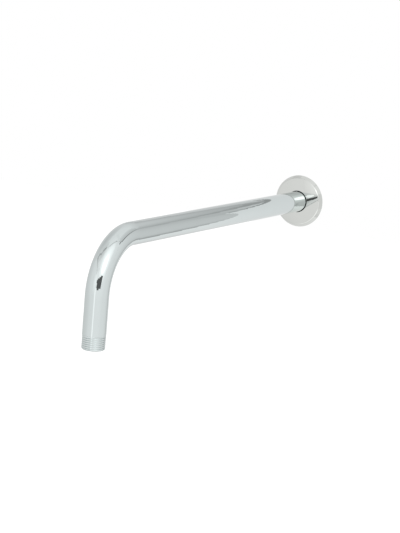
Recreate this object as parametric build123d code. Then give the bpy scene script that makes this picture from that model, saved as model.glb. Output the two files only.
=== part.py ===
"""Wall shower arm: a bent brass tube threaded at both ends, and a wall flange that slides on it over a seal ring.

Frame: +Z up, the arm runs out from the wall along -Y and drops along -Z.
The origin lies on the arm's axis in the plane of the wall, where the wall thread begins.
All sizes are in millimetres.
"""

from build123d import *
from math import sqrt
import os

# Tube
TUBE_OD = 21.3  # half-inch pipe
TUBE_WALL = 2.65
REACH = 400.0  # from the wall to the centreline of the drop
DROP = 97.0  # from the centreline of the arm down to the outlet end
BEND_RADIUS = 50.0  # of the centreline

# Threaded ends, turned down to the crest of the thread
THREAD_STEP = 0.17  # the crest lies this far below the tube's surface
THREAD_LEAD = 1.1  # chamfer that starts the thread, as deep as the thread
WALL_THREAD_LENGTH = 20.0
OUTLET_THREAD_LENGTH = 13.0
BORE_CHAMFER = 0.4  # deburred mouth of the waterway

# Wall flange, a shallow turned dish: a sloping skirt, a domed face and a hollow back
FLANGE_OD = 54.0  # foot of the skirt, on the wall
FACE_OD = 49.0  # front edge of the skirt
SKIRT_HEIGHT = 4.0  # from the wall to the front edge of the skirt
FACE_CROWN = 2.0  # rise of the domed face from its edge to its middle
FACE_WALL = 1.6  # thickness of the domed face
SKIRT_WALL = 2.0  # thickness of the skirt, measured across the axis
FLANGE_EDGE_ROUND = 0.7  # between skirt and face
FLANGE_MOUTH_BEVEL = 0.3  # broken edge of the centre hole
FLANGE_CLEARANCE = 0.55  # radial, between the centre hole and the tube
HUB_WALL = 1.8  # around the seal's groove
HUB_RELIEF = 0.5  # the hub stops this far short of the wall

# Seal, a cut rubber ring between the tube and the flange's groove
SEAL_HEIGHT = 1.8  # radial
SEAL_WIDTH = 1.95  # along the tube
SEAL_BEVEL = 0.35
SEAL_CLEARANCE = 0.05  # radial running clearance, inside and outside
SEAL_SIDE_CLEARANCE = 0.2

# Sizes worked out from those above
tube_radius = TUBE_OD / 2
bore_radius = tube_radius - TUBE_WALL
thread_radius = tube_radius - THREAD_STEP
flange_radius = FLANGE_OD / 2
face_radius = FACE_OD / 2
dome_radius = (face_radius**2 + FACE_CROWN**2) / (2 * FACE_CROWN)  # of the sphere that the face is part of
flange_bore_radius = tube_radius + FLANGE_CLEARANCE
seal_inner_radius = tube_radius + SEAL_CLEARANCE
groove_radius = seal_inner_radius + SEAL_HEIGHT + SEAL_CLEARANCE
groove_width = SEAL_WIDTH + 2 * SEAL_SIDE_CLEARANCE
hub_radius = groove_radius + HUB_WALL


def dome_height(radius, below=0):
    """Distance from the wall to the domed face, or to the surface that lies below it by its thickness."""
    middle = SKIRT_HEIGHT + FACE_CROWN - dome_radius
    return middle + sqrt((dome_radius - below) ** 2 - radius**2)


groove_centre = (HUB_RELIEF + dome_height(flange_bore_radius)) / 2  # distance from the wall


def threaded_end(length):
    """One turned end of the tube, standing on its inner end at the origin and pointing up +Z."""
    with BuildPart() as end:
        with BuildSketch(Plane.XZ):
            with BuildLine():
                Polyline(
                    (bore_radius, 0),
                    (tube_radius, 0),
                    (thread_radius, THREAD_STEP),
                    (thread_radius, length - THREAD_LEAD),
                    (thread_radius - THREAD_LEAD, length),
                    (bore_radius + BORE_CHAMFER, length),
                    (bore_radius, length - BORE_CHAMFER),
                    close=True,
                )
            make_face()
        revolve(axis=Axis.Z)
    return end.part


def bent_tube():
    """The plain tube between the two threads: a straight arm, one bend and a straight drop."""
    with BuildPart() as tube:
        with BuildLine() as route:
            FilletPolyline(
                (0, 0, 0),
                (0, -REACH, 0),
                (0, -REACH, OUTLET_THREAD_LENGTH - DROP),
                radius=BEND_RADIUS,
            )
        with BuildSketch(Plane(origin=route.line @ 0, z_dir=route.line % 0)):
            Circle(tube_radius)
            Circle(bore_radius, mode=Mode.SUBTRACT)
        sweep()
    return tube.part


def make_arm_tube():
    """The whole arm, one piece of tube."""
    wall_end = Plane(origin=(0, 0, 0), z_dir=(0, 1, 0))
    outlet_end = Plane(origin=(0, -REACH, OUTLET_THREAD_LENGTH - DROP), z_dir=(0, 0, -1))
    arm = bent_tube()
    arm += wall_end.location * threaded_end(WALL_THREAD_LENGTH)
    arm += outlet_end.location * threaded_end(OUTLET_THREAD_LENGTH)
    return arm


def dome_arc(inner, outer, below=0):
    """The section of the dome between two radii, from the outer one inwards."""
    middle = (inner + outer) / 2
    return ThreePointArc(*((radius, -dome_height(radius, below)) for radius in (outer, middle, inner)))


def make_wall_flange():
    """A domed disc on a sloping skirt, hollow behind, with a grooved hub round its centre hole."""
    groove_front = groove_centre + groove_width / 2
    groove_back = groove_centre - groove_width / 2
    hollow_radius = face_radius - SKIRT_WALL
    with BuildPart() as flange:
        with BuildSketch(Plane.XY) as section:
            with BuildLine():
                face = dome_arc(flange_bore_radius, face_radius)
                ceiling = dome_arc(hub_radius, hollow_radius, FACE_WALL)
                Polyline(
                    ceiling @ 0,
                    (flange_radius - SKIRT_WALL, 0),
                    (flange_radius, 0),
                    face @ 0,
                )
                Polyline(
                    face @ 1,
                    (flange_bore_radius, -groove_front),
                    (groove_radius, -groove_front),
                    (groove_radius, -groove_back),
                    (flange_bore_radius, -groove_back),
                    (flange_bore_radius, -HUB_RELIEF),
                    (hub_radius, -HUB_RELIEF),
                    ceiling @ 1,
                )
            make_face()
            fillet(section.vertices().sort_by_distance(face @ 0)[0], FLANGE_EDGE_ROUND)
            chamfer(section.vertices().sort_by_distance(face @ 1)[0], FLANGE_MOUTH_BEVEL)
        revolve(axis=Axis.Y)
    return flange.part


def make_flange_seal():
    """The rubber ring in the flange's groove, cut from tube, with bevelled edges."""
    with BuildPart() as seal:
        with BuildSketch(Plane.XY) as section:
            with Locations((seal_inner_radius + SEAL_HEIGHT / 2, -groove_centre)):
                Rectangle(SEAL_HEIGHT, SEAL_WIDTH)
            chamfer(section.vertices(), SEAL_BEVEL)
        revolve(axis=Axis.Y)
    return seal.part


def main():
    pieces = {
        "arm_tube": make_arm_tube(),
        "wall_flange": make_wall_flange(),
        "flange_seal": make_flange_seal(),
    }
    os.makedirs("parts", exist_ok=True)
    for name, piece in pieces.items():
        export_step(piece, f"parts/{name}.step")


main()
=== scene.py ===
"""Looks of a wall shower arm: a chromed tube threaded at both ends, its wall flange and their seal.

The file is laid out as a Blender add-on and is run as a script. Everything is in metres, in the frame of
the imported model: the arm runs out from the wall along -Y and drops along -Z.
"""

import math

import bpy
from bpy.props import FloatProperty, FloatVectorProperty, PointerProperty, StringProperty
from bpy.types import Operator, Panel, PropertyGroup
from mathutils import Matrix, Vector


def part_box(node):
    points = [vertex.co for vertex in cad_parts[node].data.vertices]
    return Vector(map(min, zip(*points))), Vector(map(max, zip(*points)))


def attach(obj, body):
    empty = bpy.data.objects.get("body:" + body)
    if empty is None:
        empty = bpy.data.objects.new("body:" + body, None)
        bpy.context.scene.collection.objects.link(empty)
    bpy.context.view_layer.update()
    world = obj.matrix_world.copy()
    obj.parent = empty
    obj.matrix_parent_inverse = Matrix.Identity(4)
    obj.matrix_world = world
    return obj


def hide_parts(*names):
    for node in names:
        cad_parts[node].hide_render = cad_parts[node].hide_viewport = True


bl_info = {
    "name": "Wall Shower Arm",
    "version": (1, 0, 0),
    "blender": (4, 5, 0),
    "location": "3D View > Sidebar > Shower Arm",
    "description": "Builds a chromed wall shower arm round its packed model, and the studio that shows it",
    "category": "Object",
}

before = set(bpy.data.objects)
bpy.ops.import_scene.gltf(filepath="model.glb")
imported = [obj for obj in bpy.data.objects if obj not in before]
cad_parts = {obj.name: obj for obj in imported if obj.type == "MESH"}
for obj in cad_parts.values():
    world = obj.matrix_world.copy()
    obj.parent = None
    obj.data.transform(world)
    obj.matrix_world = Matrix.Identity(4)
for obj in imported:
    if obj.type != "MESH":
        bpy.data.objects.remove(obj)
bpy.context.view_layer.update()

MM = 0.001
DEGREE = math.pi / 180
MATH = "ShaderNodeMath"
MIX_FIRST, MIX_SECOND, MIX_RESULT = 6, 7, 2  # colour sockets of a Mix node, by their places
RING_SPACING = 0.314  # of a wave texture's rings at a scale of one
WHITE = (1.0, 1.0, 1.0, 1.0)
CHROME_EDGE_TINT = (0.86, 0.86, 0.86, 1.0)

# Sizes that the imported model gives
TUBE_LOW, TUBE_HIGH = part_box("arm_tube")
TUBE_RADIUS = TUBE_HIGH.x
REACH = -TUBE_LOW.y - TUBE_RADIUS
DROP = -TUBE_LOW.z
WALL_THREAD = TUBE_HIGH.y
FLANGE_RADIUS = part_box("wall_flange")[1].x

# How finely the skins are divided
TUBE_SIDES = 128
FLANGE_SIDES = 192
BEND_ROWS = 64
BORE_BEND_ROWS = 32
ARM_ROWS = 24
DROP_ROWS = 6
CREST_ROWS = 4
FLANK_ROWS = 2
ROWS_PER_THREAD = CREST_ROWS + 2 * FLANK_ROWS
RUN_OUT_TURNS = 0.55  # over which a thread fades into the plain tube
DOME_STEPS = 24
ROUND_STEPS = 12
ROUND_HOLD = 0.05 * MM  # from a round to the points that keep the shading of the flats beside it
SHARP_ANGLE = 35 * DEGREE
MERGE_DISTANCE = 0.004 * MM  # within which the patches of the tube are sewn together


def linear(colour):
    """An sRGB hex colour such as C8D2D0 as linear red, green, blue and alpha."""
    parts = [int(colour[i:i + 2], 16) / 255 for i in (0, 2, 4)]
    return tuple(c / 12.92 if c <= 0.04045 else ((c + 0.055) / 1.055) ** 2.4 for c in parts) + (1.0,)


def shaded(colour, share):
    """A hex colour turned linear, and darker or lighter by a share."""
    return tuple(c * share for c in linear(colour)[:3]) + (1.0,)


def add(tree, kind, inputs=None, **settings):
    """Adds one node, sets it up, and sets or links its inputs.

    A node given as a value means its first output, and a list links all its members.
    """
    node = tree.nodes.new(kind)
    for name, value in settings.items():
        setattr(node, name, value)
    for socket, value in (inputs or {}).items():
        for source in value if isinstance(value, list) else [value]:
            if isinstance(source, bpy.types.Node):
                source = source.outputs[0]
            if isinstance(source, bpy.types.NodeSocket):
                tree.links.new(source, node.inputs[socket])
            else:
                node.inputs[socket].default_value = source
    return node


# Materials


def new_material(name):
    """A node material with an empty tree."""
    material = bpy.data.materials.new(name)
    material.use_nodes = True
    material.node_tree.nodes.clear()
    return material, material.node_tree


def polished_chrome(name, colour):
    """Chrome plate on polished brass: a clear mirror, with the faint haze and waves that buffing leaves."""
    material, tree = new_material(name)
    haze_size = 14 * MM
    wave_size = 11 * MM
    wave_height = 0.006 * MM
    haze_shade = 0.97
    place = add(tree, "ShaderNodeTexCoord").outputs["Object"]
    haze = add(tree, "ShaderNodeTexNoise", {"Vector": place, "Scale": 1 / haze_size, "Detail": 4.0})
    wave = add(tree, "ShaderNodeTexNoise", {"Vector": place, "Scale": 1 / wave_size, "Detail": 1.0})
    plate = {"Factor": haze, MIX_FIRST: linear(colour), MIX_SECOND: shaded(colour, haze_shade)}
    shader = add(
        tree,
        "ShaderNodeBsdfPrincipled",
        {
            "Metallic": 1.0,
            "Specular Tint": CHROME_EDGE_TINT,
            "Base Color": add(tree, "ShaderNodeMix", plate, data_type="RGBA").outputs[MIX_RESULT],
            "Roughness": add(tree, "ShaderNodeMapRange", {"Value": haze, "To Min": 0.01, "To Max": 0.035}),
            "Normal": add(tree, "ShaderNodeBump", {"Height": wave, "Strength": 0.5, "Distance": wave_height}),
        },
    )
    add(tree, "ShaderNodeOutputMaterial", {"Surface": shader})
    return material


def flash_plated_brass(colour):
    """The back of the flange, plated but never buffed: a greyer satin metal that keeps the turning marks."""
    material, tree = new_material("flash_plated_brass")
    mark_spacing = 0.5 * MM
    mark_depth = 0.02 * MM
    stain_size = 9 * MM
    stain_shade = 0.8
    place = add(tree, "ShaderNodeTexCoord").outputs["Object"]
    rings = add(
        tree,
        "ShaderNodeTexWave",
        {"Vector": place, "Scale": RING_SPACING / mark_spacing, "Distortion": 0.4, "Detail": 2.0},
        wave_type="RINGS",
        rings_direction="Y",
    )
    stain = add(tree, "ShaderNodeTexNoise", {"Vector": place, "Scale": 1 / stain_size, "Detail": 5.0})
    plate = {"Factor": stain, MIX_FIRST: linear(colour), MIX_SECOND: shaded(colour, stain_shade)}
    marks = {"Height": rings.outputs["Fac"], "Strength": 0.6, "Distance": mark_depth}
    shader = add(
        tree,
        "ShaderNodeBsdfPrincipled",
        {
            "Metallic": 1.0,
            "Base Color": add(tree, "ShaderNodeMix", plate, data_type="RGBA").outputs[MIX_RESULT],
            "Roughness": add(tree, "ShaderNodeMapRange", {"Value": stain, "To Min": 0.22, "To Max": 0.42}),
            "Normal": add(tree, "ShaderNodeBump", marks),
        },
    )
    add(tree, "ShaderNodeOutputMaterial", {"Surface": shader})
    return material


def drawn_brass(colour):
    """Bare brass inside the waterway, as the tube mill left it: warm, dull, with cloudy tarnish."""
    material, tree = new_material("drawn_brass")
    tarnish_size = 5 * MM
    tarnish_shade = 0.55
    pit_depth = 0.03 * MM
    place = add(tree, "ShaderNodeTexCoord").outputs["Object"]
    tarnish = add(tree, "ShaderNodeTexNoise", {"Vector": place, "Scale": 1 / tarnish_size, "Detail": 6.0})
    brass = {"Factor": tarnish, MIX_FIRST: linear(colour), MIX_SECOND: shaded(colour, tarnish_shade)}
    pits = {"Height": tarnish, "Strength": 0.4, "Distance": pit_depth}
    shader = add(
        tree,
        "ShaderNodeBsdfPrincipled",
        {
            "Metallic": 1.0,
            "Base Color": add(tree, "ShaderNodeMix", brass, data_type="RGBA").outputs[MIX_RESULT],
            "Roughness": add(tree, "ShaderNodeMapRange", {"Value": tarnish, "To Min": 0.25, "To Max": 0.5}),
            "Normal": add(tree, "ShaderNodeBump", pits),
        },
    )
    add(tree, "ShaderNodeOutputMaterial", {"Surface": shader})
    return material


def nitrile_rubber(colour):
    """Moulded nitrile rubber: near black, matt, with a fine grain and a dusty bloom."""
    material, tree = new_material("nitrile_rubber")
    grain_size = 0.4 * MM
    grain_depth = 0.03 * MM
    bloom_size = 4 * MM
    bloom_shade = 1.8
    place = add(tree, "ShaderNodeTexCoord").outputs["Object"]
    grain = add(tree, "ShaderNodeTexNoise", {"Vector": place, "Scale": 1 / grain_size, "Detail": 3.0})
    bloom = add(tree, "ShaderNodeTexNoise", {"Vector": place, "Scale": 1 / bloom_size, "Detail": 3.0})
    rubber = {"Factor": bloom, MIX_FIRST: linear(colour), MIX_SECOND: shaded(colour, bloom_shade)}
    grains = {"Height": grain, "Strength": 0.5, "Distance": grain_depth}
    shader = add(
        tree,
        "ShaderNodeBsdfPrincipled",
        {
            "Base Color": add(tree, "ShaderNodeMix", rubber, data_type="RGBA").outputs[MIX_RESULT],
            "Roughness": add(tree, "ShaderNodeMapRange", {"Value": grain, "To Min": 0.5, "To Max": 0.75}),
            "Normal": add(tree, "ShaderNodeBump", grains),
        },
    )
    add(tree, "ShaderNodeOutputMaterial", {"Surface": shader})
    return material


def studio_paper(colour):
    """Seamless white paper: matt, and white to the camera wherever no shadow falls."""
    material, tree = new_material("studio_paper")
    camera_glow = 0.5
    seen = add(tree, "ShaderNodeLightPath").outputs["Is Camera Ray"]
    shader = add(
        tree,
        "ShaderNodeBsdfPrincipled",
        {
            "Base Color": linear(colour),
            "Roughness": 0.9,
            "Specular IOR Level": 0.0,
            "Emission Color": linear(colour),
            "Emission Strength": add(tree, MATH, {0: seen, 1: camera_glow}, operation="MULTIPLY"),
        },
    )
    add(tree, "ShaderNodeOutputMaterial", {"Surface": shader})
    return material


def tent_card():
    """A lit card, as a mirror sees it: each corner has its own brightness, which runs evenly between them."""
    material, tree = new_material("tent_card")
    level = add(tree, "ShaderNodeAttribute", attribute_name="level").outputs["Fac"]
    glow = add(tree, "ShaderNodeEmission", {"Color": WHITE, "Strength": level})
    add(tree, "ShaderNodeOutputMaterial", {"Surface": glow})
    return material


# Arm tube


def tube_patch_tree():
    """Geometry Nodes for one ring-shaped patch of the tube's skin, plain or threaded, between two stations.

    A station is the distance along the tube's centreline from the wall.
    A patch that runs backwards faces inwards.
    """
    tree = bpy.data.node_groups.new("tube_patch", "GeometryNodeTree")
    stations = ("From", "To", "Free End", "Run", "Lead")
    sizes = ("Start Radius", "End Radius", "Thread Depth", "Chamfer", "Reach", "Bend Radius")
    for name in stations + sizes:
        tree.interface.new_socket(name, in_out="INPUT", socket_type="NodeSocketFloat")
    for name in ("Rows", "Sides"):
        tree.interface.new_socket(name, in_out="INPUT", socket_type="NodeSocketInt")
    tree.interface.new_socket("Bore", in_out="INPUT", socket_type="NodeSocketBool")
    tree.interface.new_socket("Mesh", in_out="OUTPUT", socket_type="NodeSocketGeometry")
    given = add(tree, "NodeGroupInput").outputs
    start, end, free_end, lead = given["From"], given["To"], given["Free End"], given["Lead"]
    bend_radius = given["Bend Radius"]

    # A flat sheet one by one, whose two sides become the way along the tube and the way around it
    rows = add(tree, MATH, {0: given["Rows"], 1: 1.0}, operation="ADD")
    sides = add(tree, MATH, {0: given["Sides"], 1: 1.0}, operation="ADD")
    sheet = add(
        tree,
        "GeometryNodeMeshGrid",
        {"Size X": 1.0, "Size Y": 1.0, "Vertices X": rows, "Vertices Y": sides},
    )
    corner = add(tree, "ShaderNodeSeparateXYZ", {"Vector": add(tree, "GeometryNodeInputPosition")})
    along = add(tree, MATH, {0: corner.outputs["X"], 1: 0.5}, operation="ADD")
    around = add(tree, MATH, {0: corner.outputs["Y"], 1: 0.5}, operation="ADD")

    # Station of each row: on a thread the rows climb one lead in a turn, and stop at the patch's ends
    level = add(tree, MATH, {0: along, 1: given["Run"], 2: start}, operation="MULTIPLY_ADD")
    climb = add(tree, MATH, {0: around, 1: lead}, operation="MULTIPLY")
    climbing = add(tree, MATH, {0: level, 1: climb}, operation="SUBTRACT")
    station = add(tree, "ShaderNodeClamp", {"Value": climbing, "Min": start, "Max": end}, clamp_type="RANGE")

    # Depth of the thread at each row: a flat crest, then a groove down one flank and up the other
    row = add(tree, MATH, {0: along, 1: given["Rows"]}, operation="MULTIPLY")
    row_in_turn = add(tree, MATH, {0: row, 1: float(ROWS_PER_THREAD)}, operation="FLOORED_MODULO")
    from_root_row = add(tree, MATH, {0: row_in_turn, 1: float(CREST_ROWS + FLANK_ROWS)}, operation="SUBTRACT")
    groove = add(
        tree,
        "ShaderNodeMapRange",
        {
            "Value": add(tree, MATH, {0: from_root_row}, operation="ABSOLUTE"),
            "From Max": float(FLANK_ROWS),
            "To Min": given["Thread Depth"],
            "To Max": 0.0,
        },
    )

    # The groove runs out where the thread meets the plain tube, and a chamfer starts it at the free end
    both_ends = add(tree, MATH, {0: start, 1: end}, operation="ADD")
    plain_end = add(tree, MATH, {0: both_ends, 1: free_end}, operation="SUBTRACT")
    past_plain = add(tree, MATH, {0: station, 1: plain_end}, operation="SUBTRACT")
    run_out = add(
        tree,
        "ShaderNodeMapRange",
        {
            "Value": add(tree, MATH, {0: past_plain}, operation="ABSOLUTE"),
            "From Max": add(tree, MATH, {0: lead, 1: RUN_OUT_TURNS}, operation="MULTIPLY"),
        },
    )
    groove_cut = add(tree, MATH, {0: groove, 1: run_out}, operation="MULTIPLY")
    past_free = add(tree, MATH, {0: station, 1: free_end}, operation="SUBTRACT")
    from_free = add(tree, MATH, {0: past_free}, operation="ABSOLUTE")
    chamfer_cut = add(tree, MATH, {0: given["Chamfer"], 1: from_free}, operation="SUBTRACT")
    cut = add(tree, MATH, {0: groove_cut, 1: chamfer_cut}, operation="MAXIMUM")
    taper = add(tree, MATH, {0: given["End Radius"], 1: given["Start Radius"]}, operation="SUBTRACT")
    uncut = add(tree, MATH, {0: taper, 1: along, 2: given["Start Radius"]}, operation="MULTIPLY_ADD")
    radius = add(tree, MATH, {0: uncut, 1: cut}, operation="SUBTRACT")

    # Place of that station on the route: straight out, round the bend, straight down
    bend_start = add(tree, MATH, {0: given["Reach"], 1: bend_radius}, operation="SUBTRACT")
    past_start = add(tree, MATH, {0: station, 1: bend_start}, operation="SUBTRACT")
    turned = add(tree, MATH, {0: past_start, 1: bend_radius}, operation="DIVIDE")
    bend_angle = add(tree, "ShaderNodeClamp", {"Value": turned, "Max": math.pi / 2})
    sine = add(tree, MATH, {0: bend_angle}, operation="SINE")
    cosine = add(tree, MATH, {0: bend_angle}, operation="COSINE")
    straight_out = add(tree, MATH, {0: station, 1: bend_start}, operation="MINIMUM")
    out = add(tree, MATH, {0: sine, 1: bend_radius, 2: straight_out}, operation="MULTIPLY_ADD")
    bend_length = add(tree, MATH, {0: bend_radius, 1: math.pi / 2}, operation="MULTIPLY")
    past_bend = add(tree, MATH, {0: past_start, 1: bend_length}, operation="SUBTRACT")
    straight_down = add(tree, MATH, {0: past_bend, 1: 0.0}, operation="MAXIMUM")
    sagitta = add(tree, MATH, {0: 1.0, 1: cosine}, operation="SUBTRACT")
    down = add(tree, MATH, {0: sagitta, 1: bend_radius, 2: straight_down}, operation="MULTIPLY_ADD")

    # Place of each point on the ring at that station
    angle = add(tree, MATH, {0: around, 1: -2 * math.pi}, operation="MULTIPLY")
    ring_cosine = add(tree, MATH, {0: angle}, operation="COSINE")
    ring_sine = add(tree, MATH, {0: angle}, operation="SINE")
    sideways = add(tree, MATH, {0: ring_cosine, 1: radius}, operation="MULTIPLY")
    outwards = add(tree, MATH, {0: ring_sine, 1: radius}, operation="MULTIPLY")
    reach = add(tree, MATH, {0: sine, 1: outwards, 2: out}, operation="MULTIPLY_ADD")
    backwards = add(tree, MATH, {0: reach, 1: -1.0}, operation="MULTIPLY")
    rise = add(tree, MATH, {0: cosine, 1: outwards}, operation="MULTIPLY")
    height = add(tree, MATH, {0: rise, 1: down}, operation="SUBTRACT")
    place = add(tree, "ShaderNodeCombineXYZ", {"X": sideways, "Y": backwards, "Z": height})
    skin = add(tree, "GeometryNodeSetPosition", {"Geometry": sheet, "Position": place})
    marked = add(
        tree,
        "GeometryNodeStoreNamedAttribute",
        {"Geometry": skin, "Name": "bore", "Value": given["Bore"]},
        data_type="BOOLEAN",
        domain="FACE",
    )
    add(tree, "NodeGroupOutput", {"Mesh": marked})
    return tree


def arm_tube_tree():
    """Geometry Nodes for the whole tube: threaded ends, arm, bend, drop and the bore back through them."""
    patch_tree = tube_patch_tree()
    tree = bpy.data.node_groups.new("arm_tube", "GeometryNodeTree")
    sizes = ("Reach", "Drop", "Bend Radius", "Tube Radius", "Bore Radius", "Wall Thread", "Outlet Thread")
    for name in sizes + ("Thread Pitch", "Thread Depth", "Thread Step", "Thread Lead", "Bore Chamfer"):
        tree.interface.new_socket(name, in_out="INPUT", socket_type="NodeSocketFloat")
    for name in ("Outside", "Inside"):
        tree.interface.new_socket(name, in_out="INPUT", socket_type="NodeSocketMaterial")
    tree.interface.new_socket("Mesh", in_out="OUTPUT", socket_type="NodeSocketGeometry")
    given = add(tree, "NodeGroupInput").outputs
    tube, bore, step = given["Tube Radius"], given["Bore Radius"], given["Thread Step"]
    lead, chamfer, pitch = given["Thread Lead"], given["Bore Chamfer"], given["Thread Pitch"]
    bend_radius = given["Bend Radius"]

    # Radii of the turned ends, and the stations where one patch meets the next
    thread_radius = add(tree, MATH, {0: tube, 1: step}, operation="SUBTRACT")
    end_radius = add(tree, MATH, {0: thread_radius, 1: lead}, operation="SUBTRACT")
    mouth_radius = add(tree, MATH, {0: bore, 1: chamfer}, operation="ADD")
    wall_end = add(tree, MATH, {0: given["Wall Thread"], 1: -1.0}, operation="MULTIPLY")
    wall_root = add(tree, MATH, {0: step, 1: -1.0}, operation="MULTIPLY")
    wall_mouth = add(tree, MATH, {0: wall_end, 1: chamfer}, operation="ADD")
    bend_start = add(tree, MATH, {0: given["Reach"], 1: bend_radius}, operation="SUBTRACT")
    bend_end = add(tree, MATH, {0: bend_radius, 1: math.pi / 2, 2: bend_start}, operation="MULTIPLY_ADD")
    below_bend = add(tree, MATH, {0: given["Drop"], 1: bend_radius}, operation="SUBTRACT")
    outlet_end = add(tree, MATH, {0: bend_end, 1: below_bend}, operation="ADD")
    outlet_start = add(tree, MATH, {0: outlet_end, 1: given["Outlet Thread"]}, operation="SUBTRACT")
    outlet_root = add(tree, MATH, {0: outlet_start, 1: step}, operation="ADD")
    outlet_mouth = add(tree, MATH, {0: outlet_end, 1: chamfer}, operation="SUBTRACT")

    # Plain patches: from, to, radius there and there, rows, and whether it is in the bore
    plain = (
        (wall_root, 0.0, thread_radius, tube, 1, False),
        (0.0, bend_start, tube, tube, ARM_ROWS, False),
        (bend_start, bend_end, tube, tube, BEND_ROWS, False),
        (bend_end, outlet_start, tube, tube, DROP_ROWS, False),
        (outlet_start, outlet_root, tube, thread_radius, 1, False),
        (outlet_end, outlet_end, end_radius, mouth_radius, 1, False),
        (outlet_end, outlet_mouth, mouth_radius, bore, 1, True),
        (outlet_mouth, bend_end, bore, bore, DROP_ROWS, True),
        (bend_end, bend_start, bore, bore, BORE_BEND_ROWS, True),
        (bend_start, wall_mouth, bore, bore, ARM_ROWS, True),
        (wall_mouth, wall_end, bore, mouth_radius, 1, True),
        (wall_end, wall_end, mouth_radius, end_radius, 1, False),
    )
    route = {"Sides": TUBE_SIDES, "Reach": given["Reach"], "Bend Radius": bend_radius}
    patches = []
    for start, end, start_radius, last_radius, rows, in_bore in plain:
        values = {
            "From": start,
            "To": end,
            "Free End": end,
            "Run": add(tree, MATH, {0: end, 1: start}, operation="SUBTRACT"),
            "Start Radius": start_radius,
            "End Radius": last_radius,
            "Rows": rows,
            "Bore": in_bore,
        }
        patches.append(add(tree, "GeometryNodeGroup", {**values, **route}, node_tree=patch_tree))

    # Threads: from, to and the end where the thread starts to cut
    for start, end, free_end in ((wall_end, wall_root, wall_end), (outlet_root, outlet_end, outlet_end)):
        length = add(tree, MATH, {0: end, 1: start}, operation="SUBTRACT")
        exact = add(tree, MATH, {0: length, 1: pitch}, operation="DIVIDE")
        whole = add(tree, MATH, {0: exact}, operation="CEIL")
        turns = add(tree, MATH, {0: whole, 1: 1.0}, operation="ADD")
        values = {
            "From": start,
            "To": end,
            "Free End": free_end,
            "Run": add(tree, MATH, {0: turns, 1: pitch}, operation="MULTIPLY"),
            "Lead": pitch,
            "Start Radius": thread_radius,
            "End Radius": thread_radius,
            "Thread Depth": given["Thread Depth"],
            "Chamfer": lead,
            "Rows": add(tree, MATH, {0: turns, 1: float(ROWS_PER_THREAD)}, operation="MULTIPLY"),
        }
        patches.append(add(tree, "GeometryNodeGroup", {**values, **route}, node_tree=patch_tree))

    # One closed skin with its sharp edges marked, chrome outside and brass in the bore
    joined = add(tree, "GeometryNodeJoinGeometry", {0: patches})
    closed = add(tree, "GeometryNodeMergeByDistance", {"Geometry": joined, "Distance": MERGE_DISTANCE})
    edge_angle = add(tree, "GeometryNodeInputMeshEdgeAngle").outputs["Unsigned Angle"]
    sharp = add(tree, MATH, {0: edge_angle, 1: SHARP_ANGLE}, operation="GREATER_THAN")
    creased = add(
        tree,
        "GeometryNodeSetShadeSmooth",
        {"Geometry": closed, "Selection": sharp, "Shade Smooth": False},
        domain="EDGE",
    )
    in_bore = add(tree, "GeometryNodeInputNamedAttribute", {"Name": "bore"}, data_type="BOOLEAN")
    real = add(tree, "GeometryNodeRealizeInstances", {"Geometry": creased})
    plated = add(tree, "GeometryNodeSetMaterial", {"Geometry": real, "Material": given["Outside"]})
    finished = add(
        tree,
        "GeometryNodeSetMaterial",
        {"Geometry": plated, "Selection": in_bore, "Material": given["Inside"]},
    )
    add(tree, "NodeGroupOutput", {"Mesh": finished})
    return tree


def grown_piece(context, name, tree, values):
    """A mesh object at the origin that holds what a Geometry Nodes tree makes with these inputs."""
    piece = bpy.data.objects.new(name, bpy.data.meshes.new(name))
    context.scene.collection.objects.link(piece)
    modifier = piece.modifiers.new("build", "NODES")
    modifier.node_group = tree
    for socket in tree.interface.items_tree:
        if socket.in_out == "INPUT":
            modifier[socket.identifier] = values[socket.name]
    depsgraph = context.evaluated_depsgraph_get()
    mesh = bpy.data.meshes.new_from_object(piece.evaluated_get(depsgraph))
    piece.modifiers.remove(modifier)
    piece.data = mesh
    mesh.name = name
    if not mesh.polygons:
        raise RuntimeError(f"{name}: the tree made no faces")
    return piece


# Wall flange


def rounded_outline(corners):
    """A closed outline from corners given as radius, y, edge round and finish, each round drawn as an arc."""
    points = []
    for index, (radius, y, edge_round, finish) in enumerate(corners):
        here = Vector((radius, y))
        back = (Vector(corners[index - 1][:2]) - here).normalized()
        ahead = (Vector(corners[(index + 1) % len(corners)][:2]) - here).normalized()
        if edge_round == 0:
            points.append((here, finish))
            continue
        half = back.angle(ahead) / 2
        reach = edge_round / math.tan(half)
        centre = here + (back + ahead).normalized() * edge_round / math.sin(half)
        start = here + back * reach - centre
        end = here + ahead * reach - centre
        points.append((here + back * (reach + ROUND_HOLD), finish))
        for step in range(ROUND_STEPS + 1):
            points.append((centre + edge_round * start.slerp(end, step / ROUND_STEPS).normalized(), finish))
        points.append((here + ahead * (reach + ROUND_HOLD), finish))
    return points


def turned_mesh(name, outline, sides):
    """A closed mesh that spins an outline of points and finishes about the Y axis.

    A point is a radius and a y. The outline runs with the metal on its left where y points up, so that
    the faces look out.
    """
    verts = []
    for (radius, y), _ in outline:
        for side in range(sides):
            angle = 2 * math.pi * side / sides
            verts.append((radius * math.cos(angle), y, radius * math.sin(angle)))
    faces = []
    finishes = []
    for ring, (_, finish) in enumerate(outline):
        here = ring * sides
        following = (ring + 1) % len(outline) * sides
        for side in range(sides):
            beside = (side + 1) % sides
            faces.append((here + beside, following + beside, following + side, here + side))
            finishes.append(finish)
    mesh = bpy.data.meshes.new(name)
    mesh.from_pydata(verts, [], faces)
    mesh.polygons.foreach_set("material_index", finishes)
    mesh.shade_smooth()
    mesh.set_sharp_from_angle(angle=SHARP_ANGLE)
    return mesh


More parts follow.
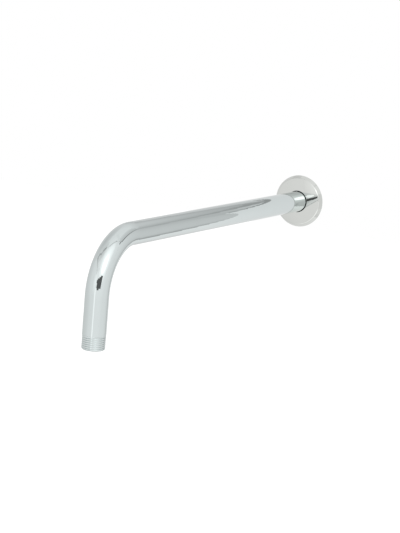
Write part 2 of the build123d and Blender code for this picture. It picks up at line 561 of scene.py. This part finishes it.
def dome_points(sizes, inner, outer, below):
    """Radius and y along the flange's dome from one radius to another, at its face or below it."""
    sphere = (sizes.face_radius**2 + sizes.crown**2) / (2 * sizes.crown)
    middle = sizes.skirt_height + sizes.crown - sphere
    points = []
    for step in range(DOME_STEPS + 1):
        radius = outer + (inner - outer) * step / DOME_STEPS
        points.append((radius, -middle - math.sqrt((sphere - below) ** 2 - radius**2)))
    return points


# Stage


def heading(azimuth, elevation):
    """A direction from its degrees of turn from +Y towards +X and of rise above the horizon."""
    level = math.cos(elevation * DEGREE)
    return Vector(
        (
            math.sin(azimuth * DEGREE) * level,
            math.cos(azimuth * DEGREE) * level,
            math.sin(elevation * DEGREE),
        )
    )


def lying(z, left, right, near, far):
    """Corners of a level sheet from its x and y limits."""
    return [(left, near, z), (right, near, z), (right, far, z), (left, far, z)]


def upright(start, end):
    """Corners of an upright card from the x, y, low edge and high edge at its two ends."""
    return [start[:3], end[:3], (*end[:2], end[3]), (*start[:2], start[3])]


def square_on(y, left, right, low, high):
    """Corners of an upright card square to the arm, from its x and z limits."""
    return upright((left, y, low, high), (right, y, low, high))


def facing(distance, *points):
    """Corners of a card at a distance from the bend, by azimuth and elevation as the bend sees them."""
    return [BEND_POINT + distance * heading(*point) for point in points]


# Places in the light tent that the chrome mirrors
BEND_POINT = Vector((0.005, -0.400, -0.030))  # inside the bend, where directions are counted from
BOARD_Y = 0.022  # the board at the wall, just past the end of the wall thread
BOARD_LEFT, BOARD_FOLD, BOARD_MIDDLE, BOARD_RIGHT = -0.9, -0.13, -0.03, 0.106
# The last of these is the top of a painted shadow: a dark strip just above the board's top edge
BOARD_FOOT, BOARD_WAIST, BOARD_TOP, BOARD_EDGE_SHADOW_TOP = -0.9, -0.13, 0.060, 0.0675
REAR_Y = 1.0  # the tent's wall behind that board
REAR_LEFT, REAR_FOLD, REAR_SHADE, REAR_RIGHT = -0.9, 0.28, 0.40, 0.59
REAR_FOOT, REAR_TOP, REAR_SEAM, REAR_ROOF, REAR_END = -1.0, 0.55, 0.60, 0.80, 1.45
REAR_SEAM_MIDDLE = 0.05
RIGHT_BACK, RIGHT_FRONT = (REAR_RIGHT, REAR_Y), (1.2, 0.13)  # the two ends of the tent's right wall
RIGHT_SEAM_LOW, RIGHT_SEAM_HIGH = (0.60, 0.76), (0.66, 0.89)  # edges of its seam at those ends
BEND_CARD_Y, BEND_CARD_BACK_Y = -0.365, -0.3651  # a small white card over the arm, and its grey back

# The cards of the tent. A flat card has its corners and a brightness for each of them, or one for all.
FLAT_CARDS = {
    "wall_board": (
        square_on(BOARD_Y, BOARD_MIDDLE, BOARD_RIGHT, BOARD_WAIST, BOARD_TOP),
        (1.08, 1.14, 1.02, 1.0),
    ),
    "wall_board_low": (
        square_on(BOARD_Y, BOARD_MIDDLE, BOARD_RIGHT, BOARD_FOOT, BOARD_WAIST),
        (1.0, 1.14, 1.14, 1.08),
    ),
    "wall_board_mid": (
        square_on(BOARD_Y, BOARD_FOLD, BOARD_MIDDLE, BOARD_FOOT, BOARD_TOP),
        (0.84, 1.08, 1.0, 0.94),
    ),
    "wall_board_left": (
        square_on(BOARD_Y, BOARD_LEFT, BOARD_FOLD, BOARD_FOOT, BOARD_TOP),
        (0.9, 0.84, 0.94, 0.9),
    ),
    # A painted shadow: a dark strip above the board's top edge stands in for the shade along that edge
    "wall_board_edge_shadow": (square_on(BOARD_Y, -0.04, BOARD_RIGHT, BOARD_TOP, BOARD_EDGE_SHADOW_TOP), 0.45),
    "rear_left": (
        square_on(REAR_Y, REAR_LEFT, REAR_FOLD, REAR_FOOT, REAR_TOP),
        (0.92, 0.84, 0.80, 0.92),
    ),
    "rear_middle": (
        square_on(REAR_Y, REAR_FOLD, REAR_SHADE, REAR_FOOT, REAR_TOP),
        (0.84, 0.48, 0.70, 0.80),
    ),
    "rear_right": (
        square_on(REAR_Y, REAR_SHADE, REAR_RIGHT, REAR_FOOT, REAR_TOP),
        (0.48, 0.75, 0.73, 0.70),
    ),
    "rear_seam_left": (
        square_on(REAR_Y, -0.5, REAR_SEAM_MIDDLE, REAR_TOP, REAR_SEAM),
        (0.85, 0.47, 0.47, 0.85),
    ),
    "rear_seam_right": (
        square_on(REAR_Y, REAR_SEAM_MIDDLE, REAR_RIGHT, REAR_TOP, 0.62),
        (0.47, 0.62, 0.62, 0.47),
    ),
    "rear_high": (
        square_on(REAR_Y, REAR_LEFT, REAR_RIGHT, REAR_SEAM, REAR_ROOF),
        (0.62, 0.62, 0.85, 0.85),
    ),
    "rear_top": (
        square_on(REAR_Y, REAR_LEFT, REAR_RIGHT, REAR_ROOF, REAR_END),
        (0.85, 0.85, 1.0, 1.0),
    ),
    "right_low": (
        upright((*RIGHT_BACK, REAR_FOOT, RIGHT_SEAM_LOW[0]), (*RIGHT_FRONT, REAR_FOOT, RIGHT_SEAM_LOW[1])),
        (0.86, 1.05, 1.06, 0.73),
    ),
    "right_seam": (
        upright(
            (*RIGHT_BACK, RIGHT_SEAM_LOW[0], RIGHT_SEAM_HIGH[0]),
            (*RIGHT_FRONT, RIGHT_SEAM_LOW[1], RIGHT_SEAM_HIGH[1]),
        ),
        (0.60, 0.03, 0.03, 0.60),
    ),
    "right_high": (
        upright((*RIGHT_BACK, RIGHT_SEAM_HIGH[0], 1.7), (*RIGHT_FRONT, RIGHT_SEAM_HIGH[1], 2.2)),
        (0.70, 0.78, 1.08, 0.98),
    ),
    "flange_shade": (upright((0.86, -0.02, -0.4, 0.45), (0.98, 0.09, -0.4, 0.45)), 0.98),
    "table": (lying(-0.55, -0.4, 1.0, -1.1, -0.42), (1.6, 1.8, 1.8, 1.2)),
    "white_streak": (facing(1.4, (163, -35), (178, -35), (177, 4), (164, 4)), 1.38),
    "front_slit": (facing(1.4, (125.5, -35), (128.5, -35), (128.5, -2), (125.5, -2)), 0.9),
    "roof_seam_right": (facing(1.0, (63, 36), (66, 36), (80, 64), (77, 65)), (0.95, 0.95, 0.66, 0.66)),
    "camera_slot": (
        facing(0.32, (124, 0.5), (157, -1.2), (164, 4), (171, 16.5), (132, 20.5), (122, 16)),
        0.14,
    ),
    "bend_card": (square_on(BEND_CARD_Y, 0.002, 0.080, 0.056, 0.104), 2.2),
    "bend_card_back": (square_on(BEND_CARD_BACK_Y, 0.0, 0.082, 0.054, 0.106), 1.02),
}
# A round card has its distance, its middle and angular radius as the bend sees them, and two levels of
# brightness, in its middle and at its rim.
ROUND_CARDS = {
    "softbox": (0.72, (130, 41), 34, 1.74, 1.24),
    "softbox_lamp": (0.70, (130, 38), 17, 4.0, 1.5),
    "right_glow": (1.7, (182, 15), 22, 1.36, 1.08),
    "left_shade": (1.7, (-72, 40), 28, 0.74, 0.92),
    "right_shade": (3.0, (230, 58), 19, 0.80, 0.98),
}
ROUND_CARD_SIDES = 48
# A seam has its distance, its width in degrees and its course: azimuth, elevation and brightness.
SEAMS = {
    "roof_seam": (
        1.5,
        1.6,
        ((78, 64, 0.62), (100, 72.5, 0.62), (140, 77, 0.62), (180, 76, 0.62), (205, 71, 0.62)),
    ),
    "left_fold": (
        1.6,
        4,
        (
            (205, 71, 0.85),
            (218, 68.5, 0.5),
            (225, 64.5, 0.5),
            (229, 58, 0.5),
            (231, 53, 0.5),
            (238, 46.5, 0.54),
            (250, 40, 0.56),
        ),
    ),
    "left_seam": (
        1.59,
        5,
        (
            (251, 38, 0.60),
            (235, 39, 0.66),
            (224, 38, 0.76),
            (213, 38.5, 0.82),
            (205, 36, 0.86),
            (197, 32, 0.90),
            (188, 25, 1.0),
        ),
    ),
}
# Brightness of the open tent, from the side away from its brightest point round to that point
BRIGHTEST = (140, 35)
TENT_LEVELS = ((0.0, 0.88), (0.25, 0.90), (0.43, 0.96), (0.57, 1.04), (0.73, 1.06), (0.82, 1.11), (1.0, 1.18))


def stage_piece(context, name, verts, faces, material):
    """A piece of the stage, which is no part of the object."""
    mesh = bpy.data.meshes.new(name)
    mesh.from_pydata([tuple(v) for v in verts], [], faces)
    mesh.materials.append(material)
    piece = bpy.data.objects.new(name, mesh)
    context.scene.collection.objects.link(piece)
    return piece


def lay_floor(context, settings):
    """A wide sheet of pale paper under the arm, which mirrors see through to the tent."""
    half = settings.floor_span / 2
    corners = lying(-settings.floor_drop, -half, half, -half, half)
    floor = stage_piece(context, "studio_floor", corners, [(0, 1, 2, 3)], studio_paper(settings.paper_colour))
    floor.visible_glossy = False


def hang_card(context, name, material, verts, faces, levels):
    """One card of the tent, seen only in mirrors."""
    card = stage_piece(context, name, verts, faces, material)
    card.data.attributes.new("level", "FLOAT", "POINT").data.foreach_set("value", levels)
    card.visible_camera = False
    card.visible_diffuse = False
    card.visible_transmission = False
    card.visible_volume_scatter = False
    card.visible_shadow = False


def round_card(distance, middle, radius):
    """Points and faces of a round card at a distance from the bend, its middle first and then its rim."""
    ahead = heading(*middle)
    across = ahead.cross(Vector((0, 0, 1))).normalized()
    up = across.cross(ahead)
    reach = distance * math.tan(radius * DEGREE)
    centre = BEND_POINT + distance * ahead
    verts = [centre]
    faces = []
    for side in range(ROUND_CARD_SIDES):
        angle = 2 * math.pi * side / ROUND_CARD_SIDES
        verts.append(centre + reach * (across * math.cos(angle) + up * math.sin(angle)))
        faces.append((0, 1 + side, 1 + (side + 1) % ROUND_CARD_SIDES))
    return verts, faces


def seam_strip(distance, width, rays):
    """Points and faces of a strip of even width at a distance from the bend, two points for each ray."""
    verts = []
    for index, ray in enumerate(rays):
        along = rays[min(index + 1, len(rays) - 1)] - rays[max(index - 1, 0)]
        across = along.cross(ray).normalized() * math.tan(width / 2 * DEGREE)
        verts += [BEND_POINT + distance * (ray - across), BEND_POINT + distance * (ray + across)]
    faces = [(2 * i, 2 * i + 2, 2 * i + 3, 2 * i + 1) for i in range(len(rays) - 1)]
    return verts, faces


def hang_tent(context):
    """The cards that the chrome mirrors: the board at the wall, and the tent's walls, seams and lamps."""
    material = tent_card()
    for name, (corners, levels) in FLAT_CARDS.items():
        if not isinstance(levels, tuple):
            levels = (levels,) * len(corners)
        hang_card(context, name, material, corners, [tuple(range(len(corners)))], levels)
    for name, (distance, middle, radius, middle_level, rim_level) in ROUND_CARDS.items():
        verts, faces = round_card(distance, middle, radius)
        hang_card(context, name, material, verts, faces, [middle_level] + [rim_level] * ROUND_CARD_SIDES)
    for name, (distance, width, course) in SEAMS.items():
        verts, faces = seam_strip(distance, width, [heading(*point[:2]) for point in course])
        levels = [point[2] for point in course for _ in range(2)]
        hang_card(context, name, material, verts, faces, levels)


def fill_world(context, settings):
    """White for the camera, even light for matt surfaces, and for mirrors a tent that darkens to the back."""
    world = bpy.data.worlds.new("studio")
    context.scene.world = world
    world.use_nodes = True
    tree = world.node_tree
    tree.nodes.clear()
    toward = add(tree, "ShaderNodeTexCoord").outputs["Generated"]
    sides = {0: toward, 1: heading(*BRIGHTEST)}
    likeness = add(tree, "ShaderNodeVectorMath", sides, operation="DOT_PRODUCT").outputs["Value"]
    share = add(tree, "ShaderNodeMapRange", {"Value": likeness, "From Min": -1.0})
    ramp = add(tree, "ShaderNodeValToRGB", {"Fac": share})
    stops = ramp.color_ramp.elements
    top_level = TENT_LEVELS[-1][1]
    while len(stops) < len(TENT_LEVELS):
        stops.new(0.5)
    for stop, (position, level) in zip(stops, TENT_LEVELS):
        stop.position = position
        stop.color = (level / top_level,) * 3 + (1.0,)
    tent = add(tree, "ShaderNodeBackground", {"Color": ramp, "Strength": top_level})
    room = add(tree, "ShaderNodeBackground", {"Color": WHITE, "Strength": settings.room_light})
    backdrop = add(tree, "ShaderNodeBackground", {"Color": WHITE, "Strength": 1.0})
    path = add(tree, "ShaderNodeLightPath").outputs
    mirrored = add(tree, "ShaderNodeMixShader", {0: path["Is Glossy Ray"], 1: room, 2: tent})
    seen = add(tree, MATH, {0: path["Is Camera Ray"], 1: path["Is Transmission Ray"]}, operation="MAXIMUM")
    surface = add(tree, "ShaderNodeMixShader", {0: seen, 1: mirrored, 2: backdrop})
    add(tree, "ShaderNodeOutputWorld", {"Surface": surface})


def hang_lamp(context, settings):
    """A soft square lamp above the camera for the matt surfaces and the floor."""
    data = bpy.data.lights.new("soft_lamp", "AREA")
    data.energy = settings.lamp_power
    data.size = settings.lamp_size
    lamp = bpy.data.objects.new("soft_lamp", data)
    lamp.location = settings.lamp_place
    lamp.rotation_euler = (-lamp.location).to_track_quat("-Z", "Y").to_euler()
    lamp.visible_glossy = False
    context.scene.collection.objects.link(lamp)


def aim_camera(context, settings):
    """The camera at the view of the photograph."""
    data = bpy.data.cameras.new("camera")
    data.lens = settings.lens
    camera = bpy.data.objects.new("camera", data)
    turn = Matrix.Rotation(-settings.camera_yaw, 4, "Z")
    tilt = Matrix.Rotation(math.pi / 2 + settings.camera_pitch, 4, "X")
    roll = Matrix.Rotation(settings.camera_roll, 4, "Z")
    camera.matrix_world = Matrix.Translation(settings.camera_place) @ turn @ tilt @ roll
    context.scene.collection.objects.link(camera)
    context.scene.camera = camera


# Settings


class ArmTubeSettings(PropertyGroup):
    """Sizes and finish of the bent tube."""

    reach: FloatProperty(
        name="Reach",
        description="From the wall to the centreline of the drop",
        default=REACH,
        unit="LENGTH",
    )
    drop: FloatProperty(
        name="Drop",
        description="From the centreline of the arm down to the outlet end",
        default=DROP,
        unit="LENGTH",
    )
    bend_radius: FloatProperty(
        name="Bend Radius",
        description="Radius of the bend at the centreline",
        default=50 * MM,
        unit="LENGTH",
    )
    tube_radius: FloatProperty(
        name="Tube Radius",
        description="Outside radius of the tube",
        default=TUBE_RADIUS,
        unit="LENGTH",
    )
    wall: FloatProperty(
        name="Wall",
        description="Thickness of the tube's wall",
        default=2.65 * MM,
        unit="LENGTH",
    )
    wall_thread: FloatProperty(
        name="Wall Thread",
        description="Length of the thread that goes into the wall",
        default=WALL_THREAD,
        unit="LENGTH",
    )
    outlet_thread: FloatProperty(
        name="Outlet Thread",
        description="Length of the thread at the outlet",
        default=13 * MM,
        unit="LENGTH",
    )
    thread_pitch: FloatProperty(
        name="Thread Pitch",
        description="Half-inch pipe thread, fourteen turns to the inch",
        default=25.4 * MM / 14,
        unit="LENGTH",
    )
    thread_depth: FloatProperty(
        name="Thread Depth",
        description="From the broad flat crest of the thread to its root",
        default=0.35 * MM,
        unit="LENGTH",
    )
    thread_step: FloatProperty(
        name="Thread Step",
        description="How far the crest of the thread lies below the tube's surface",
        default=0.17 * MM,
        unit="LENGTH",
    )
    thread_lead: FloatProperty(
        name="Thread Lead",
        description="Chamfer that starts the thread at the tube's end",
        default=1.1 * MM,
        unit="LENGTH",
    )
    bore_chamfer: FloatProperty(
        name="Bore Chamfer",
        description="Broken edge at each mouth of the waterway",
        default=0.4 * MM,
        unit="LENGTH",
    )
    plate_colour: StringProperty(
        name="Plate Colour",
        description="sRGB hex colour of the chrome plate",
        default="CDD4D4",
    )
    bore_colour: StringProperty(
        name="Bore Colour",
        description="sRGB hex colour of the bare brass inside",
        default="C9A55F",
    )


class WallFlangeSettings(PropertyGroup):
    """Sizes and finish of the wall flange."""

    radius: FloatProperty(
        name="Radius",
        description="Radius of the skirt's foot, on the wall",
        default=FLANGE_RADIUS,
        unit="LENGTH",
    )
    face_radius: FloatProperty(
        name="Face Radius",
        description="Radius of the front edge, where the sloping skirt meets the face",
        default=24.5 * MM,
        unit="LENGTH",
    )
    skirt_height: FloatProperty(
        name="Skirt Height",
        description="From the wall to the front edge",
        default=4.0 * MM,
        unit="LENGTH",
    )
    crown: FloatProperty(
        name="Crown",
        description="Rise of the domed face from its edge to its middle",
        default=2.0 * MM,
        unit="LENGTH",
    )
    face_wall: FloatProperty(
        name="Face Wall",
        description="Thickness of the domed face",
        default=1.6 * MM,
        unit="LENGTH",
    )
    skirt_wall: FloatProperty(
        name="Skirt Wall",
        description="Thickness of the skirt, measured across the axis",
        default=2.0 * MM,
        unit="LENGTH",
    )
    edge_round: FloatProperty(
        name="Edge Round",
        description="Round of the front edge",
        default=1.3 * MM,
        unit="LENGTH",
    )
    mouth_round: FloatProperty(
        name="Mouth Round",
        description="Broken edge of the centre hole",
        default=0.3 * MM,
        unit="LENGTH",
    )
    clearance: FloatProperty(
        name="Clearance",
        description="Gap between the centre hole and the tube",
        default=0.55 * MM,
        unit="LENGTH",
    )
    groove_depth: FloatProperty(
        name="Groove Depth",
        description="Depth of the seal's groove behind the centre hole",
        default=1.35 * MM,
        unit="LENGTH",
    )
    groove_width: FloatProperty(
        name="Groove Width",
        description="Width of the seal's groove",
        default=2.35 * MM,
        unit="LENGTH",
    )
    hub_wall: FloatProperty(
        name="Hub Wall",
        description="Thickness of the hub round the groove",
        default=1.8 * MM,
        unit="LENGTH",
    )
    hub_relief: FloatProperty(
        name="Hub Relief",
        description="How far the hub stops short of the wall",
        default=0.5 * MM,
        unit="LENGTH",
    )
    plate_colour: StringProperty(
        name="Plate Colour",
        description="sRGB hex colour of the chrome plate",
        default="CDCFCC",
    )
    back_colour: StringProperty(
        name="Back Colour",
        description="sRGB hex colour of the unbuffed back",
        default="A9AAA4",
    )


class FlangeSealSettings(PropertyGroup):
    """Finish of the seal ring."""

    rubber_colour: StringProperty(
        name="Rubber Colour",
        description="sRGB hex colour of the seal",
        default="1C1D1E",
    )


class StageSettings(PropertyGroup):
    """Camera, floor and light."""

    camera_place: FloatVectorProperty(
        name="Camera Place",
        description="Where the camera stands",
        default=(0.77447, -1.70207, 0.24912),
        unit="LENGTH",
    )
    camera_yaw: FloatProperty(
        name="Camera Yaw",
        description="Turn to the right from looking along +Y",
        default=-27.476 * DEGREE,
        unit="ROTATION",
    )
    camera_pitch: FloatProperty(
        name="Camera Pitch",
        description="Tilt above the horizon",
        default=-9.959 * DEGREE,
        unit="ROTATION",
    )
    camera_roll: FloatProperty(
        name="Camera Roll",
        description="Turn of the camera about its own line of sight",
        default=4.823 * DEGREE,
        unit="ROTATION",
    )
    lens: FloatProperty(
        name="Lens",
        description="Focal length on a 36 mm sensor",
        default=120.687,
        unit="CAMERA",
    )
    floor_drop: FloatProperty(
        name="Floor Drop",
        description="How far the floor lies below the arm",
        default=0.6,
        unit="LENGTH",
    )
    floor_span: FloatProperty(
        name="Floor Span",
        description="Width of the floor",
        default=7.0,
        unit="LENGTH",
    )
    paper_colour: StringProperty(
        name="Paper Colour",
        description="sRGB hex colour of the floor",
        default="F4F4F4",
    )
    room_light: FloatProperty(
        name="Room Light",
        description="Even light from all round on matt surfaces",
        default=0.7,
    )
    lamp_power: FloatProperty(
        name="Lamp Power",
        description="Power of the soft lamp above the camera",
        default=14.0,
        unit="POWER",
    )
    lamp_size: FloatProperty(
        name="Lamp Size",
        description="Width of the soft lamp",
        default=0.9,
        unit="LENGTH",
    )
    lamp_place: FloatVectorProperty(
        name="Lamp Place",
        description="Where the soft lamp hangs",
        default=(0.9, -1.1, 1.5),
        unit="LENGTH",
    )


# Operators


class SHOWERARM_OT_arm_tube(Operator):
    """Builds the chromed tube with its bend, its two threads and the bore"""

    bl_idname = "shower_arm.arm_tube"
    bl_label = "Arm Tube"

    def execute(self, context):
        sizes = context.scene.arm_tube_settings
        values = {
            "Reach": sizes.reach,
            "Drop": sizes.drop,
            "Bend Radius": sizes.bend_radius,
            "Tube Radius": sizes.tube_radius,
            "Bore Radius": sizes.tube_radius - sizes.wall,
            "Wall Thread": sizes.wall_thread,
            "Outlet Thread": sizes.outlet_thread,
            "Thread Pitch": sizes.thread_pitch,
            "Thread Depth": sizes.thread_depth,
            "Thread Step": sizes.thread_step,
            "Thread Lead": sizes.thread_lead,
            "Bore Chamfer": sizes.bore_chamfer,
            "Outside": polished_chrome("tube_chrome_plate", sizes.plate_colour),
            "Inside": drawn_brass(sizes.bore_colour),
        }
        tube = grown_piece(context, "chromed_arm_tube", arm_tube_tree(), values)
        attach(tube, "arm")
        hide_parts("arm_tube")
        return {"FINISHED"}


class SHOWERARM_OT_wall_flange(Operator):
    """Builds the wall flange: a polished domed disc on a sloping skirt, hollow behind, with a grooved hub"""

    bl_idname = "shower_arm.wall_flange"
    bl_label = "Wall Flange"

    def execute(self, context):
        sizes = context.scene.wall_flange_settings
        polished, unbuffed = 0, 1
        hole = context.scene.arm_tube_settings.tube_radius + sizes.clearance
        groove = hole + sizes.groove_depth
        hub = groove + sizes.hub_wall
        hollow = sizes.face_radius - sizes.skirt_wall
        face = dome_points(sizes, hole, sizes.face_radius, 0)
        ceiling = dome_points(sizes, hub, hollow, sizes.face_wall)
        groove_middle = (face[-1][1] - sizes.hub_relief) / 2
        groove_front = groove_middle - sizes.groove_width / 2
        groove_back = groove_middle + sizes.groove_width / 2
        outline = rounded_outline(
            (
                (sizes.radius - sizes.skirt_wall, 0, 0, unbuffed),
                (sizes.radius, 0, 0, polished),
                (*face[0], sizes.edge_round, polished),
                *((*point, 0, polished) for point in face[2:-1]),  # the round before takes up the second one
                (*face[-1], sizes.mouth_round, polished),
                (hole, groove_front, 0, unbuffed),
                (groove, groove_front, 0, unbuffed),
                (groove, groove_back, 0, unbuffed),
                (hole, groove_back, 0, unbuffed),
                (hole, -sizes.hub_relief, 0, unbuffed),
                (hub, -sizes.hub_relief, 0, unbuffed),
                *((*point, 0, unbuffed) for point in reversed(ceiling)),
            )
        )
        mesh = turned_mesh("chromed_wall_flange", outline, FLANGE_SIDES)
        mesh.materials.append(polished_chrome("flange_chrome_plate", sizes.plate_colour))
        mesh.materials.append(flash_plated_brass(sizes.back_colour))
        flange = bpy.data.objects.new(mesh.name, mesh)
        context.scene.collection.objects.link(flange)
        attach(flange, "flange")
        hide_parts("wall_flange")
        return {"FINISHED"}


class SHOWERARM_OT_flange_seal(Operator):
    """Gives the seal ring its rubber"""

    bl_idname = "shower_arm.flange_seal"
    bl_label = "Flange Seal"

    def execute(self, context):
        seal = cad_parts["flange_seal"]
        seal.data.materials.clear()
        seal.data.materials.append(nitrile_rubber(context.scene.flange_seal_settings.rubber_colour))
        return {"FINISHED"}


class SHOWERARM_OT_stage(Operator):
    """Sets up the floor, the light tent, the lamp and the camera"""

    bl_idname = "shower_arm.stage"
    bl_label = "Stage"

    def execute(self, context):
        settings = context.scene.stage_settings
        lay_floor(context, settings)
        hang_tent(context)
        fill_world(context, settings)
        hang_lamp(context, settings)
        aim_camera(context, settings)
        context.scene.view_settings.view_transform = "Standard"
        return {"FINISHED"}


# Panel


class SHOWERARM_PT_panel(Panel):
    """Lists the pieces and their settings"""

    bl_label = "Shower Arm"
    bl_space_type = "VIEW_3D"
    bl_region_type = "UI"
    bl_category = "Shower Arm"

    def draw(self, context):
        for operator, settings in PIECES:
            box = self.layout.box()
            box.operator(operator.bl_idname)
            group = getattr(context.scene, settings)
            for name in group.__annotations__:
                box.prop(group, name)


# Registration

GROUPS = {
    "arm_tube_settings": ArmTubeSettings,
    "wall_flange_settings": WallFlangeSettings,
    "flange_seal_settings": FlangeSealSettings,
    "stage_settings": StageSettings,
}
PIECES = (
    (SHOWERARM_OT_arm_tube, "arm_tube_settings"),
    (SHOWERARM_OT_wall_flange, "wall_flange_settings"),
    (SHOWERARM_OT_flange_seal, "flange_seal_settings"),
    (SHOWERARM_OT_stage, "stage_settings"),
)
CLASSES = tuple(GROUPS.values()) + tuple(operator for operator, _ in PIECES) + (SHOWERARM_PT_panel,)


def register():
    """Makes the settings, the operators and the panel known to Blender."""
    for cls in CLASSES:
        bpy.utils.register_class(cls)
    for name, group in GROUPS.items():
        setattr(bpy.types.Scene, name, PointerProperty(type=group))


def unregister():
    """Takes them out again."""
    for name in GROUPS:
        delattr(bpy.types.Scene, name)
    for cls in reversed(CLASSES):
        bpy.utils.unregister_class(cls)


def main():
    """Builds the arm and its stage."""
    register()
    bpy.ops.shower_arm.arm_tube()
    bpy.ops.shower_arm.wall_flange()
    bpy.ops.shower_arm.flange_seal()
    bpy.ops.shower_arm.stage()


if __name__ == "__main__":
    main()
